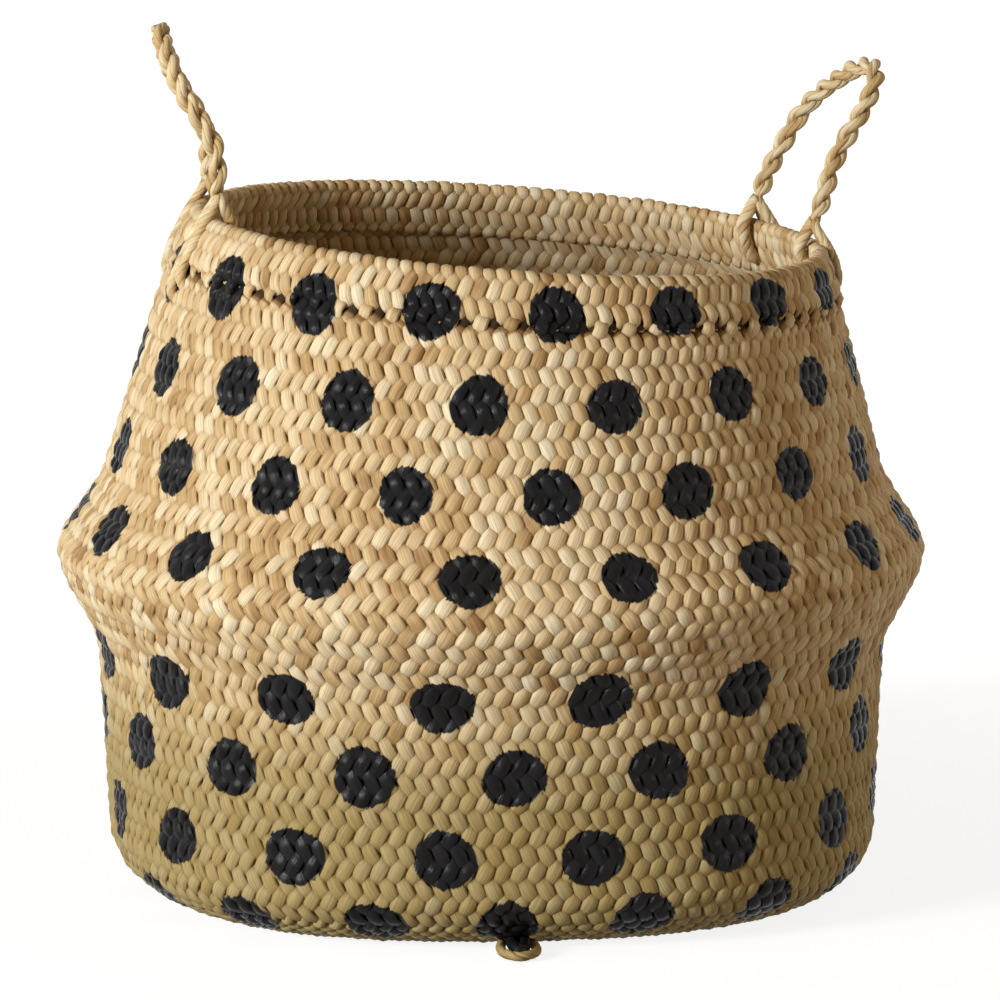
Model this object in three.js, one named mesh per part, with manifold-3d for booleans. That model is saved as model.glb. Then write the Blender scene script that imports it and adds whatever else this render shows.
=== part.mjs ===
import * as THREE from 'three';
import { mergeVertices } from 'three/addons/utils/BufferGeometryUtils.js';
import Module from 'manifold-3d';

// A plaited seagrass belly basket with a folded hem and two twisted rope handles. Its upper half
// folds down inside its lower half. Millimetres, Z up, the origin in the middle of the base.

// The wall's outer outline, from the base to the rim.
const wall = 3;
const lowerRadius = 146;
const bottomRoundOut = 33;
const bottomRoundUp = 24;
const waistHeight = 87;
const bellyRadius = 160;
const bellyHeight = 126;
// The neck lies this far inside the belly and the rim this far inside the neck, so that the wall
// narrows all the way up.
const neckInset = 17;
const neckRadius = bellyRadius - neckInset;
const neckHeight = 156;
const rimInset = 24.4;
const rimRadius = neckRadius - rimInset;
const rimHeight = 243;
// Near the top it curves in a little more.
const rimTuck = 3;
const tuckStart = 213;

// The base is woven as a square, so the lower body has four soft corners, halfway between the
// X and Y axes.
const cornerShare = 0.033;
const cornerAngle = Math.PI / 4;

// The plait's rows of knobs run round the wall as low ribs.
const rowHeight = 6.4;
const rowDepth = 0.8;

// The rim sits lower on the +X side, and the neck leans a little that way.
const rimDrop = 8.2;
const rimDropPower = 3;
const neckLean = 3.1;

// The hem is the wall folded over on itself.
const hemDepth = 20;
const hemProud = 0.8;
const hemThickness = 6.8;

// The stretch of wall that folds when the basket is pushed down, as links that slide in turn.
const foldStart = 136;
const foldEnd = 206;
const foldLinks = 5;

// Twisted ropes, and the plies that they part into where they straddle the hem.
const ropeDiameter = 7;
const plyDiameter = 4;
const leftOuterTail = 26;
const rightOuterTail = 13;
const innerTail = 15;
const legSpacing = 57;
const leftHandleAngle = 183;
const rightHandleAngle = 16.5;

// Each rope's line between its two pivots: along the rim as a share of half the leg spacing, then
// outwards and up from the pivots' line in millimetres.
const leftLoop = [
  [-0.99, -0.5, 8],
  [-0.97, 0.2, 16],
  [-0.92, 3.5, 24],
  [-0.84, 8.5, 32],
  [-0.7, 13, 40],
  [-0.5, 16, 48],
  [-0.26, 17.8, 54.5],
  [0, 18.2, 57],
  [0.26, 17.8, 54.5],
  [0.5, 16, 48],
  [0.7, 13, 40],
  [0.84, 8.5, 32],
  [0.92, 3.5, 24],
  [0.97, 0.2, 16],
  [0.99, -0.5, 8],
];
const rightLoop = [
  [-0.9, 4.5, 8],
  [-0.74, 9.5, 18],
  [-0.66, 16.5, 29],
  [-0.66, 23.4, 40],
  [-0.58, 28.5, 49],
  [-0.3, 30.7, 53.2],
  [0.14, 29.5, 51],
  [0.47, 26.6, 46.3],
  [0.8, 22.5, 39.5],
  [1.02, 17, 30.5],
  [1.06, 11, 20],
  [1.02, 4, 9],
];

// The tuft of strand ends under the front of the base.
const tuftWidth = 17;
const tuftLength = 29;
const tuftHeight = 7.5;
const tuftReach = 147;
const tuftOffset = 3;

const gap = 0.3;
// How finely round shapes are cut up.
const roundSteps = 48;
const edgeSteps = 6;
const bellySteps = 8;
const hemSteps = 6;
const ropeSides = 10;
const ballRings = 8;
const handleSteps = 36;
const lashingSteps = 16;
const tuftSides = 14;
const halvings = 40;

const bellyBulge = bellyRadius - coneRadius(bellyHeight);
// The rim is a polygon, so its sides come closer to the lashings than its corners do.
const lashingGap = gap + rimRadius * (1 - Math.cos(Math.PI / roundSteps));

// The straight cone above the neck, carried on below it and up to the rim.
function coneRadius(height) {
  const slope = (neckRadius - rimRadius) / (rimHeight - neckHeight);
  return neckRadius - slope * (height - neckHeight);
}

function smooth(share) {
  const t = Math.min(Math.max(share, 0), 1);
  return t * t * (3 - 2 * t);
}

// Outer radius at a height above the bottom's rounding: straight to the waist, out to the belly
// and back to the cone.
function outerRadius(height) {
  if (height < bellyHeight) {
    const share = (height - waistHeight) / (bellyHeight - waistHeight);
    return lowerRadius + (bellyRadius - lowerRadius) * smooth(share);
  }
  const fall = 1 - smooth((height - bellyHeight) / (neckHeight - bellyHeight));
  const tuck = rimTuck * (Math.max(height - tuckStart, 0) / (rimHeight - tuckStart)) ** 2;
  return coneRadius(height) + bellyBulge * fall - tuck;
}

// How far the four soft corners stand out, from the base up to the belly.
function cornerFactor(height, angle) {
  const fade = 1 - smooth(height / bellyHeight);
  return 1 + cornerShare * fade * Math.cos(4 * (angle - cornerAngle));
}

function upShare(height) {
  return Math.max(height - bellyHeight, 0) / (rimHeight - bellyHeight);
}

// The true height of a level line of the weave, which drops towards +X near the rim.
function trueHeight(level, angle) {
  return level - rimDrop * upShare(level) ** rimDropPower * Math.cos(angle);
}

function leanAt(height) {
  return neckLean * upShare(height);
}

// A point inset from the wall's outer face, at a true height.
function facePoint(height, angle, inset) {
  const radius = outerRadius(height) * cornerFactor(height, angle) - inset;
  return new THREE.Vector3(
    leanAt(height) + radius * Math.cos(angle), radius * Math.sin(angle), height);
}

// The same on a level line of the weave.
function wallPoint(level, angle, inset) {
  return facePoint(trueHeight(level, angle), angle, inset);
}

// A point inset from the wall's outer face, straight down from the rim by a true distance.
function rimPoint(down, angle, inset) {
  return facePoint(trueHeight(rimHeight, angle) - down, angle, inset);
}

// The height at which the face that lies inset from the outer one passes over a plan position.
function heightOver(plan, inset) {
  let low = bellyHeight;
  let high = rimHeight * 2;
  for (let i = 0; i < halvings; i++) {
    const middle = (low + high) / 2;
    const reach = Math.hypot(plan.x - leanAt(middle), plan.y);
    if (outerRadius(middle) - inset > reach) low = middle;
    else high = middle;
  }
  return low;
}

// The plan position of the wall's middle on a level line, moved outwards by a shift.
function planPoint(level, angle, shift) {
  return wallPoint(level, angle, wall / 2 - shift).setZ(0);
}

// The wall's two faces straight above a plan position, the outer one inset.
function columnOver(plan, inset = 0) {
  return {
    top: plan.clone().setZ(heightOver(plan, inset)),
    foot: plan.clone().setZ(heightOver(plan, wall)),
  };
}

// Places along a stretch of wall, as shares of its length, with no relief.
function evenSteps(steps) {
  return Array.from({ length: steps + 1 }, (_, i) => ({ share: i / steps, inset: 0 }));
}

// The same, two to each row of the plait, with how deep the face lies at each.
function rowSteps(length) {
  const steps = evenSteps(2 * Math.round(length / rowHeight));
  return steps.map(({ share }, i) => ({ share, inset: i % 2 ? rowDepth : 0 }));
}

const angles = Array.from({ length: roundSteps }, (_, i) => (i / roundSteps) * 2 * Math.PI);

// A closed solid through one outline per angle. Each outline closes on itself, or starts and
// ends on the axis.
function loft(outlineAt, endsOnAxis = false) {
  const outlines = angles.map(outlineAt);
  const count = outlines[0].length;
  const last = endsOnAxis ? count - 1 : count;
  const positions = outlines.flat().flatMap((point) => point.toArray());
  const faces = [];
  for (let i = 0; i < roundSteps; i++) {
    const here = i * count;
    const next = ((i + 1) % roundSteps) * count;
    for (let j = 0; j < last; j++) {
      const k = (j + 1) % count;
      const fromAxis = endsOnAxis && j === 0;
      const toAxis = endsOnAxis && k === count - 1;
      if (!fromAxis) faces.push(here + j, next + j, next + k);
      if (!toAxis) faces.push(here + j, next + k, here + k);
    }
  }
  const geometry = new THREE.BufferGeometry();
  geometry.setAttribute('position', new THREE.Float32BufferAttribute(positions, 3));
  geometry.setIndex(faces);
  return faceOutwards(mergeVertices(geometry, 1e-4));
}

// Turns every face round if they enclose a negative volume.
function faceOutwards(geometry) {
  const position = geometry.attributes.position;
  const index = geometry.index.array;
  const corner = [0, 1, 2].map(() => new THREE.Vector3());
  let volume = 0;
  for (let i = 0; i < index.length; i += 3) {
    corner.forEach((point, j) => point.fromBufferAttribute(position, index[i + j]));
    volume += corner[0].dot(corner[1].clone().cross(corner[2]));
  }
  if (volume < 0) {
    for (let i = 0; i < index.length; i += 3) {
      [index[i], index[i + 1]] = [index[i + 1], index[i]];
    }
  }
  geometry.computeVertexNormals();
  return geometry;
}

const wasm = await Module();
wasm.setup();

function toManifold(geometry) {
  const plain = geometry.clone();
  plain.deleteAttribute('normal');
  plain.deleteAttribute('uv');
  const merged = mergeVertices(plain, 1e-4);
  return new wasm.Manifold(new wasm.Mesh({
    numProp: 3,
    vertProperties: new Float32Array(merged.attributes.position.array),
    triVerts: new Uint32Array(merged.index.array),
  }));
}

function fromManifold(solid) {
  const mesh = solid.getMesh();
  const geometry = new THREE.BufferGeometry();
  geometry.setAttribute('position', new THREE.BufferAttribute(mesh.vertProperties, 3));
  geometry.setIndex(new THREE.BufferAttribute(mesh.triVerts, 1));
  geometry.computeVertexNormals();
  return geometry;
}

// The rounded edge from the flat floor up to the lower wall, grown by a margin.
function roundedEdge(angle, margin, steps) {
  const flatRadius = lowerRadius - bottomRoundOut;
  return steps.map(({ share, inset }) => {
    const turn = share * (Math.PI / 2);
    const height = bottomRoundUp - (bottomRoundUp + margin - inset) * Math.cos(turn);
    const radius = flatRadius + (bottomRoundOut + margin - inset) * Math.sin(turn);
    const reach = radius * cornerFactor(height, angle);
    return new THREE.Vector3(reach * Math.cos(angle), reach * Math.sin(angle), height);
  });
}

// The floor mat with its rounded edge.
function baseGeometry() {
  const rows = rowSteps((bottomRoundOut + bottomRoundUp) * (Math.PI / 4));
  return loft((angle) => [
    new THREE.Vector3(0, 0, 0),
    ...roundedEdge(angle, 0, rows),
    ...roundedEdge(angle, -wall, evenSteps(edgeSteps)).reverse(),
    new THREE.Vector3(0, 0, wall),
  ], true);
}

// The base's outer shape without its hollow, grown by a margin.
function filledBase(margin) {
  return loft((angle) => [
    new THREE.Vector3(0, 0, -margin),
    ...roundedEdge(angle, margin, evenSteps(edgeSteps)),
    new THREE.Vector3(0, 0, bottomRoundUp),
  ], true);
}

function lowerWallGeometry() {
  const bottom = bottomRoundUp + gap;
  const length = waistHeight - bottom;
  return loft((angle) => [
    ...rowSteps(length).map(({ share, inset }) => wallPoint(bottom + share * length, angle, inset)),
    wallPoint(waistHeight, angle, wall),
    wallPoint(bottom + length / 2, angle, wall),
    wallPoint(bottom, angle, wall),
  ]);
}

// The belly: from the waist out to the widest line, and in to where the folding links start.
function bellyGeometry() {
  const bottom = waistHeight + gap;
  const outwards = Math.hypot(bellyHeight - waistHeight, bellyRadius - lowerRadius);
  const rows = rowSteps(outwards + foldStart - bellyHeight);
  const heightAt = (share, top) => bottom + share * (top - bottom);
  return loft((angle) => {
    const column = columnOver(planPoint(foldStart, angle, gap / 2));
    const outer = rows.map(
      ({ share, inset }) => facePoint(heightAt(share, column.top.z), angle, inset));
    const inner = evenSteps(bellySteps).map(
      ({ share }) => facePoint(heightAt(share, column.foot.z), angle, wall));
    outer[outer.length - 1] = column.top;
    inner[inner.length - 1] = column.foot;
    return [...outer, ...inner.reverse()];
  });
}

// One link of the folding stretch. Its sides are upright, so that it slides past its neighbours.
function foldLinkGeometry(index) {
  const length = (foldEnd - foldStart) / foldLinks;
  const levelAt = (i) => foldStart + length * i;
  const rows = rowSteps(length);
  return loft((angle) => {
    const outer = planPoint(levelAt(index), angle, -gap / 2);
    const inner = planPoint(levelAt(index + 1), angle, gap / 2);
    const columns = rows.map(
      ({ share, inset }) => columnOver(outer.clone().lerp(inner, share), inset));
    const tops = columns.map((column) => column.top);
    const feet = columns.map((column) => column.foot);
    return [...tops, ...feet.reverse()];
  });
}

// The stretch above the links, up to the hem. It stays with the hem.
function collarGeometry() {
  const top = hemDepth + gap;
  const rows = rowSteps(rimHeight - foldEnd - top);
  return loft((angle) => {
    const column = columnOver(planPoint(foldEnd, angle, -gap / 2));
    const end = rimPoint(top, angle, 0);
    const inwards = new THREE.Vector3(-Math.cos(angle), -Math.sin(angle), 0);
    const face = rows.map(({ share, inset }) => (
      column.top.clone().lerp(end, share).addScaledVector(inwards, inset)));
    return [column.foot, ...face, rimPoint(top, angle, wall)];
  });
}

function hemGeometry() {
  const bend = hemThickness / 2;
  const leg = hemDepth - bend;
  const rows = rowSteps(leg);
  return loft((angle) => {
    const outside = rows.map(
      ({ share, inset }) => rimPoint(hemDepth - share * leg, angle, inset - hemProud));
    const over = evenSteps(hemSteps).slice(1, -1).map(({ share }) => {
      const turn = share * Math.PI;
      const inset = bend * (1 - Math.cos(turn)) - hemProud;
      return rimPoint(bend * (1 - Math.sin(turn)), angle, inset);
    });
    const inside = rows.map(({ share, inset }) => (
      rimPoint(bend + share * leg, angle, hemThickness - hemProud - inset)));
    return [...outside, ...over, ...inside];
  });
}

// A round tube along a list of points, with a ball on each end if asked for.
function tubeGeometry(points, diameter, steps, ballEnds) {
  const path = new THREE.CatmullRomCurve3(points, false, 'centripetal');
  const section = new THREE.Shape();
  section.absarc(0, 0, diameter / 2, 0, 2 * Math.PI);
  const tube = new THREE.ExtrudeGeometry(section, {
    steps, curveSegments: ropeSides / 2, bevelEnabled: false, extrudePath: path,
  });
  let solid = toManifold(tube);
  if (ballEnds) {
    for (const end of [points[0], points[points.length - 1]]) {
      const ball = new THREE.SphereGeometry(diameter / 2, ropeSides, ballRings);
      ball.translate(end.x, end.y, end.z);
      solid = solid.add(toManifold(ball));
    }
  }
  return fromManifold(solid);
}

// The two angles at which a handle's legs stand on the rim.
function legAngles(handleAngle) {
  const middle = THREE.MathUtils.degToRad(handleAngle);
  const half = Math.asin(legSpacing / 2 / rimRadius);
  return [middle - half, middle + half];
}

// A leg's pivot: the middle of the rope's ball end, on top of the plies that straddle the hem.
function pivotPoint(angle) {
  const rise = lashingGap + plyDiameter + gap + ropeDiameter / 2;
  return rimPoint(0, angle, hemThickness / 2 - hemProud).add(new THREE.Vector3(0, 0, rise));
}

// One ply over the hem: down the outside to below the hem, and down the inside.
function lashingGeometry(angle, outerTail) {
  const clear = lashingGap + plyDiameter / 2;
  const bend = hemThickness / 2;
  const outside = (down) => rimPoint(down, angle, -hemProud - clear);
  const inside = (down) => rimPoint(down, angle, hemThickness - hemProud + clear);
  const points = [outside(outerTail), outside(outerTail / 2), outside(bend)];
  for (const turn of [0.25, 0.5, 0.75]) {
    const inset = bend - hemProud - (bend + clear) * Math.cos(turn * Math.PI);
    const down = bend - (bend + clear) * Math.sin(turn * Math.PI);
    points.push(rimPoint(down, angle, inset));
  }
  points.push(inside(bend), inside(innerTail / 2), inside(innerTail));
  return tubeGeometry(points, plyDiameter, lashingSteps, false);
}

function handleGeometry(handleAngle, loop) {
  const [first, second] = legAngles(handleAngle).map(pivotPoint);
  const middle = first.clone().add(second).multiplyScalar(0.5);
  const along = second.clone().sub(first).normalize();
  const up = new THREE.Vector3(0, 0, 1);
  const outwards = new THREE.Vector3().crossVectors(along, up).normalize();
  const points = loop.map(([side, out, rise]) => middle.clone()
    .addScaledVector(along, (side * legSpacing) / 2)
    .addScaledVector(outwards, out)
    .addScaledVector(up, rise));
  return tubeGeometry([first, ...points, second], ropeDiameter, handleSteps, true);
}

// The tuft lies on the floor against the base's rounded edge.
function tuftGeometry() {
  const shape = new THREE.SphereGeometry(1, tuftSides, ballRings);
  shape.scale(tuftWidth / 2, tuftLength / 2, tuftHeight);
  shape.translate(tuftOffset, -(tuftReach - tuftLength / 2), 0);
  const floor = new THREE.BoxGeometry(tuftWidth * 2, tuftLength * 2, tuftHeight * 2);
  floor.translate(tuftOffset, -(tuftReach - tuftLength / 2), -tuftHeight);
  return fromManifold(
    toManifold(shape).subtract(toManifold(floor)).subtract(toManifold(filledBase(gap))));
}

const basket = new THREE.Group();

function add(name, geometry, color, roughness) {
  const material = new THREE.MeshStandardMaterial({ color, roughness, metalness: 0 });
  const mesh = new THREE.Mesh(geometry, material);
  mesh.name = name;
  basket.add(mesh);
}

const seagrass = 0xc49a62;
const greenSeagrass = 0xb39a5a;
const rope = 0xc9b48a;

add('base_mat', baseGeometry(), greenSeagrass, 0.8);
add('base_corner_tuft', tuftGeometry(), greenSeagrass, 0.85);
add('lower_wall', lowerWallGeometry(), greenSeagrass, 0.8);
add('belly', bellyGeometry(), seagrass, 0.8);
for (let i = 0; i < foldLinks; i++) {
  add(`fold_link_${i + 1}`, foldLinkGeometry(i), seagrass, 0.8);
}
add('collar', collarGeometry(), seagrass, 0.8);
add('hem', hemGeometry(), seagrass, 0.78);
for (const [side, handleAngle, loop, outerTail] of [
  ['left', leftHandleAngle, leftLoop, leftOuterTail],
  ['right', rightHandleAngle, rightLoop, rightOuterTail],
]) {
  legAngles(handleAngle).forEach((angle, i) => {
    add(`${side}_lashing_${i + 1}`, lashingGeometry(angle, outerTail), rope, 0.85);
  });
  add(`${side}_handle`, handleGeometry(handleAngle, loop), rope, 0.85);
}

export default basket;
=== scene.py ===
"""Plaited seagrass belly basket with dark dots, a folded hem and two twisted rope handles.

Shapes are worked out in millimetres in the frame's own axes, and turned into metres where a mesh is made.
"""

import math

import bpy
import numpy as np
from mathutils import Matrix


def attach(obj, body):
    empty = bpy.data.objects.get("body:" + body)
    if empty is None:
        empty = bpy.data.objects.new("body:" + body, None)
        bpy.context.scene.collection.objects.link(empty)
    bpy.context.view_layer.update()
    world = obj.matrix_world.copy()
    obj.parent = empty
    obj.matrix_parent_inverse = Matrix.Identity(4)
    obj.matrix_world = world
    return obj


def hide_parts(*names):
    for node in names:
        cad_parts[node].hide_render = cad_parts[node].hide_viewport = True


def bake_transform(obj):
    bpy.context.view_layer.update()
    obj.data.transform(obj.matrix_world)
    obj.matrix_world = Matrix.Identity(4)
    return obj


bl_info = {
    "name": "Plaited belly basket",
    "version": (1, 0, 0),
    "blender": (4, 5, 0),
    "location": "View3D > Sidebar > Basket",
    "description": "Dresses the basket's frame with its plaited strands, dots, hem and ropes",
    "category": "Add Mesh",
}

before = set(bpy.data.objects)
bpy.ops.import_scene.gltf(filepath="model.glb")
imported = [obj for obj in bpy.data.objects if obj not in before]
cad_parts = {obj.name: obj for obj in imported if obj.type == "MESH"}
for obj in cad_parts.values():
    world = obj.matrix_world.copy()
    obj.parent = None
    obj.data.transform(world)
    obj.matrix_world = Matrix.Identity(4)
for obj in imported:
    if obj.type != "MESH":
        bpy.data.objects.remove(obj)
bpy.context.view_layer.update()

# The wall's outer outline, as in the solids. A level is a height as it would be without the rim's tilt.
WALL = 3
LOWER_RADIUS = 146
BOTTOM_ROUND_OUT = 33
BOTTOM_ROUND_UP = 24
WAIST_HEIGHT = 87
BELLY_RADIUS = 160
BELLY_HEIGHT = 126
NECK_RADIUS = 143
NECK_HEIGHT = 156
RIM_RADIUS = 118.6
RIM_HEIGHT = 243
RIM_TUCK = 3
TUCK_START = 213
CORNER_SHARE = 0.033
CORNER_ANGLE = math.pi / 4
RIM_DROP = 8.2
NECK_LEAN = 3.1
CONE_SLOPE = (NECK_RADIUS - RIM_RADIUS) / (RIM_HEIGHT - NECK_HEIGHT)

# Steps of the outline's table round the base's edge and up the wall, and how far it runs past the rim.
EDGE_STEPS = 60
WALL_STEPS = 900
PAST_RIM = 8

# How far the hem reaches down and stands out, its thickness, and its middle's bend, leg and length.
HEM_DEPTH = 20
HEM_PROUD = 0.8
HEM_THICKNESS = 6.8
HEM_BEND = (HEM_THICKNESS - WALL) / 2
HEM_LEG = HEM_DEPTH - HEM_THICKNESS / 2
HEM_LENGTH = 2 * HEM_LEG + math.pi * HEM_BEND

# How far apart a handle's legs stand, and how far its pivots lie above the rim. A loop's points are shares
# of half that width along the rim, with distances outwards and up. The left loop mirrors its first half.
LEG_SPACING = 57
PIVOT_RISE = 8.354
LEFT_HALF = [
    (-0.99, -0.5, 8), (-0.97, 0.2, 16), (-0.92, 3.5, 24), (-0.84, 8.5, 32), (-0.7, 13, 40), (-0.5, 16, 48),
    (-0.26, 17.8, 54.5),
]
LEFT_LOOP = [*LEFT_HALF, (0, 18.2, 57), *[(-side, out, up) for side, out, up in reversed(LEFT_HALF)]]
RIGHT_LOOP = [
    (-0.9, 4.5, 8), (-0.74, 9.5, 18), (-0.66, 16.5, 29), (-0.66, 23.4, 40), (-0.58, 28.5, 49),
    (-0.3, 30.7, 53.2), (0.14, 29.5, 51), (0.47, 26.6, 46.3), (0.8, 22.5, 39.5), (1.02, 17, 30.5),
    (1.06, 11, 20), (1.02, 4, 9),
]

# Each handle's side, its place round the rim in degrees, its loop, and how far down its longest ply runs.
HANDLES = (("left", 183, LEFT_LOOP, 26), ("right", 16.5, RIGHT_LOOP, 13))

# One turn of the fine strands in a rope's ply, against the rope's own, in a laid ply and in the tuft.
ROPE_PLY_LAY = -11
LAID_PLY_LAY = 14
TUFT_LAY = 16

# The depth of a point that lies in no dot.
NO_DOT = -20

# The tuft's shift towards +X, where its ends lie, and each loop's half width, reach, level, radius and
# depth in a dot.
TUFT_OFFSET = 3
TUFT_BACK = 118
TUFT_LOOPS = ((6.3, 144.8, 2.3, 1.8, NO_DOT), (2.1, 141.2, 3.9, 2.3, 3))

# Arc length from the base's middle to the plait's first row on the wall, and the mat's cell in the middle.
FIRST_ROW_ARC = 140
CENTRE_CELL = 4.4

# Points along a strand for each of its knobs, and corners round it, with their angles and their heights.
SAMPLES_PER_KNOB = 4
STRAND_SIDES = 8
CORNER_TURN = np.arange(STRAND_SIDES) * 2 * math.pi / STRAND_SIDES
CORNER_RISE = np.sin(CORNER_TURN)

# A row is once over and once under. Strands that rise to the right are cut at this row, the others half a
# row lower, where they pass under. The upper ones end this far below the rim, inside the hem.
SPLIT_ROW = 9.5
WALL_END = 11

# Which way the wall's strands rise, the sign of that, and how many rows later they are cut.
SIDES = (("right", 1, 0.5), ("left", -1, 0))

# How deep the sheet's middle lies, and how much deeper where it faces the floor, so that no strand goes
# through that, and under the hem.
WALL_INSET = 2.0
FLOOR_INSET = 0.35
HEM_DIVE = 1.2

# The strands' girths, and the shares by which lift, place, width, thickness and tone vary along them.
GIRTHS = (0.96, 1.03)
LIFT_SWELL = 0.18
DRIFT = 0.05
WIDTH_SWELL = 0.03
THICKNESS_SWELL = 0.14
PATCH_SHARE = 0.4

# A strand's width as a share of the spacing, and the most by which its fibre pattern is shifted.
STRAND_FILL = 1.02
FIBRE_SHIFT = 4000

# The share that starts late of every second strand of the hem that rises to the right, and starts, in rows.
LATE_SHARE = 0.8
LATE_START = (0.45, 0.55)
EARLY_START = {1: (-0.12, 0.05), -1: (0.19, 0.24)}

# How deep the hem's strands are tucked in at their outer ends and at their inner ends.
OUTER_TUCK = 2.6
INNER_TUCK = 0.6

# Level of each row of dots, its number of dots, the angle of one of them in degrees, how much the row rises
# towards +X, and the dots' width across and up as shares of the common one.
DOT_ROWS = [
    (228.4, 17, -104.6, 2.5, 1.0, 1.0), (197.5, 17, -95.5, 0, 1.0, 1.0), (166.3, 17, -84.8, 0, 1.0, 1.0),
    (139, 17, -95.6, -1.5, 1.03, 1.0), (92.9, 16, -77.7, 1.5, 1.13, 1.0), (66.5, 17, -89.6, 1.5, 1.1, 1.05),
    (37, 17, -99.8, 1.5, 1.12, 1.05), (11, 18, -90.4, 2.5, 1.12, 1.08),
]

# The dots' sizes as shares, how far they stray in millimetres, and the shares of the radius by which two
# and three waves move the edge.
DOT_SIZES = (0.97, 1.04)
DOT_STRAY = 0.5
DOT_WAVES = (0.03, 0.025)

# The stage in metres and degrees: half the floor's width, where its glow starts to grow and is full, the
# lamps' aim, each one's place, size and colour, and the camera, with its lens in millimetres.
FLOOR_SPAN = 9.0
GLOW_START = 0.2
GLOW_FULL = 0.7
LAMP_AIM = (0, 0, 0.12)
LAMPS = (
    ("key_light", (-2.2, -1.74, 0.83), 0.7, (0.95, 0.98, 1.0)),
    ("fill_light", (2.2, -0.8, 0.3), 0.5, (1.0, 0.86, 0.68)),
)
CAMERA_AZIMUTH = -3
CAMERA_PITCH = 10
CAMERA_LENS = 290.6
CAMERA_SHIFT = 0.0093


def smooth(share):
    """0 below 0, 1 above 1, and 3t^2 - 2t^3 between."""
    t = np.clip(share, 0, 1)
    return t * t * (3 - 2 * t)


def unit(vectors):
    """Vectors of length one."""
    return vectors / np.maximum(np.linalg.norm(vectors, axis=-1, keepdims=True), 1e-9)


def cone_radius(height):
    return NECK_RADIUS - CONE_SLOPE * (height - NECK_HEIGHT)


def outer_radius(height):
    """The wall's outer radius: straight, out to the belly by a smooth step, then a cone.

    A bulge that fades is added to the cone. Near the top it curves in by a share of the tuck, as a square.
    """
    rising = LOWER_RADIUS + (BELLY_RADIUS - LOWER_RADIUS) * smooth(
        (height - WAIST_HEIGHT) / (BELLY_HEIGHT - WAIST_HEIGHT))
    bulge = BELLY_RADIUS - cone_radius(BELLY_HEIGHT)
    fade = 1 - smooth((height - BELLY_HEIGHT) / (NECK_HEIGHT - BELLY_HEIGHT))
    tuck = RIM_TUCK * (np.maximum(height - TUCK_START, 0) / (RIM_HEIGHT - TUCK_START)) ** 2
    return np.where(height < BELLY_HEIGHT, rising, cone_radius(height) + bulge * fade - tuck)


def up_share(height):
    return np.maximum(height - BELLY_HEIGHT, 0) / (RIM_HEIGHT - BELLY_HEIGHT)


def true_height(level, angle):
    """A level line's height: it drops towards +X by the cube of its share of the way to the rim."""
    return level - RIM_DROP * up_share(level) ** 3 * np.cos(angle)


def level_at(height, angle):
    """The level line that passes a height, found by repeated substitution."""
    level = np.array(height, float)
    for _ in range(6):
        level = height + RIM_DROP * up_share(level) ** 3 * np.cos(angle)
    return level


def corner_factor(height, angle):
    """The base's four soft corners, as a cosine of four times the angle that fades up to the belly."""
    return 1 + CORNER_SHARE * (1 - smooth(height / BELLY_HEIGHT)) * np.cos(4 * (angle - CORNER_ANGLE))


def polar(radius, angle, height):
    """A point round the leaning axis."""
    lean = NECK_LEAN * up_share(height)
    return np.stack([lean + radius * np.cos(angle), radius * np.sin(angle), height + 0 * angle], -1)


def outline_table():
    """Arc length, radius and level along the outline: flat floor, quarter ellipse, then the wall."""
    turn = np.linspace(0, math.pi / 2, EDGE_STEPS)
    edge_radius = LOWER_RADIUS - BOTTOM_ROUND_OUT * (1 - np.sin(turn))
    edge_level = BOTTOM_ROUND_UP * (1 - np.cos(turn))
    level = np.linspace(BOTTOM_ROUND_UP, RIM_HEIGHT + PAST_RIM, WALL_STEPS)[1:]
    radius = np.concatenate([[0], edge_radius, outer_radius(level)])
    level = np.concatenate([[0], edge_level, level])
    steps = np.hypot(np.diff(radius), np.diff(level))
    return np.concatenate([[0], np.cumsum(steps)]), radius, level


ARC, ARC_RADIUS, ARC_LEVEL = outline_table()


def sheet_point(arc, angle):
    """A point of the outer face at an arc length from the base's middle and an angle."""
    level = np.interp(arc, ARC, ARC_LEVEL)
    height = true_height(level, angle)
    radius = np.where(level < BOTTOM_ROUND_UP, np.interp(arc, ARC, ARC_RADIUS), outer_radius(height))
    return polar(radius * corner_factor(height, angle), angle, height)


def sheet_normal(arc, angle):
    """Outward normal, from differences along and around the sheet."""
    step = 0.5
    arc = np.maximum(arc, 4 * step)
    turn = step / arc
    along = sheet_point(arc + step, angle) - sheet_point(arc - step, angle)
    around = sheet_point(arc, angle + turn) - sheet_point(arc, angle - turn)
    return unit(np.cross(around, along))


def rim_point(down, angle, inset):
    """A point inset from the wall's outer face, straight down from the rim."""
    height = true_height(RIM_HEIGHT, angle) - down
    return polar(outer_radius(height) * corner_factor(height, angle) - inset, angle, height)


def hem_place(run, angle):
    """The middle of the hem's sheet: up the outside, over a half circle, and down the inside."""
    centre = HEM_THICKNESS / 2
    turn = np.clip((run - HEM_LEG) / HEM_BEND, 0, math.pi)
    below = np.where(run < HEM_LEG, HEM_LEG - run, np.maximum(run - HEM_LEG - math.pi * HEM_BEND, 0))
    down = centre + below - HEM_BEND * np.sin(turn)
    inset = centre - HEM_PROUD - HEM_BEND * np.cos(turn)
    return rim_point(down, angle, inset)


def hem_normal(run, angle):
    """Normal away from the hem's own middle, from differences along and around it."""
    step, turn = 0.3, 0.003
    along = hem_place(run + step, angle) - hem_place(run - step, angle)
    around = hem_place(run, angle + turn) - hem_place(run, angle - turn)
    return unit(np.cross(around, along))


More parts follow.
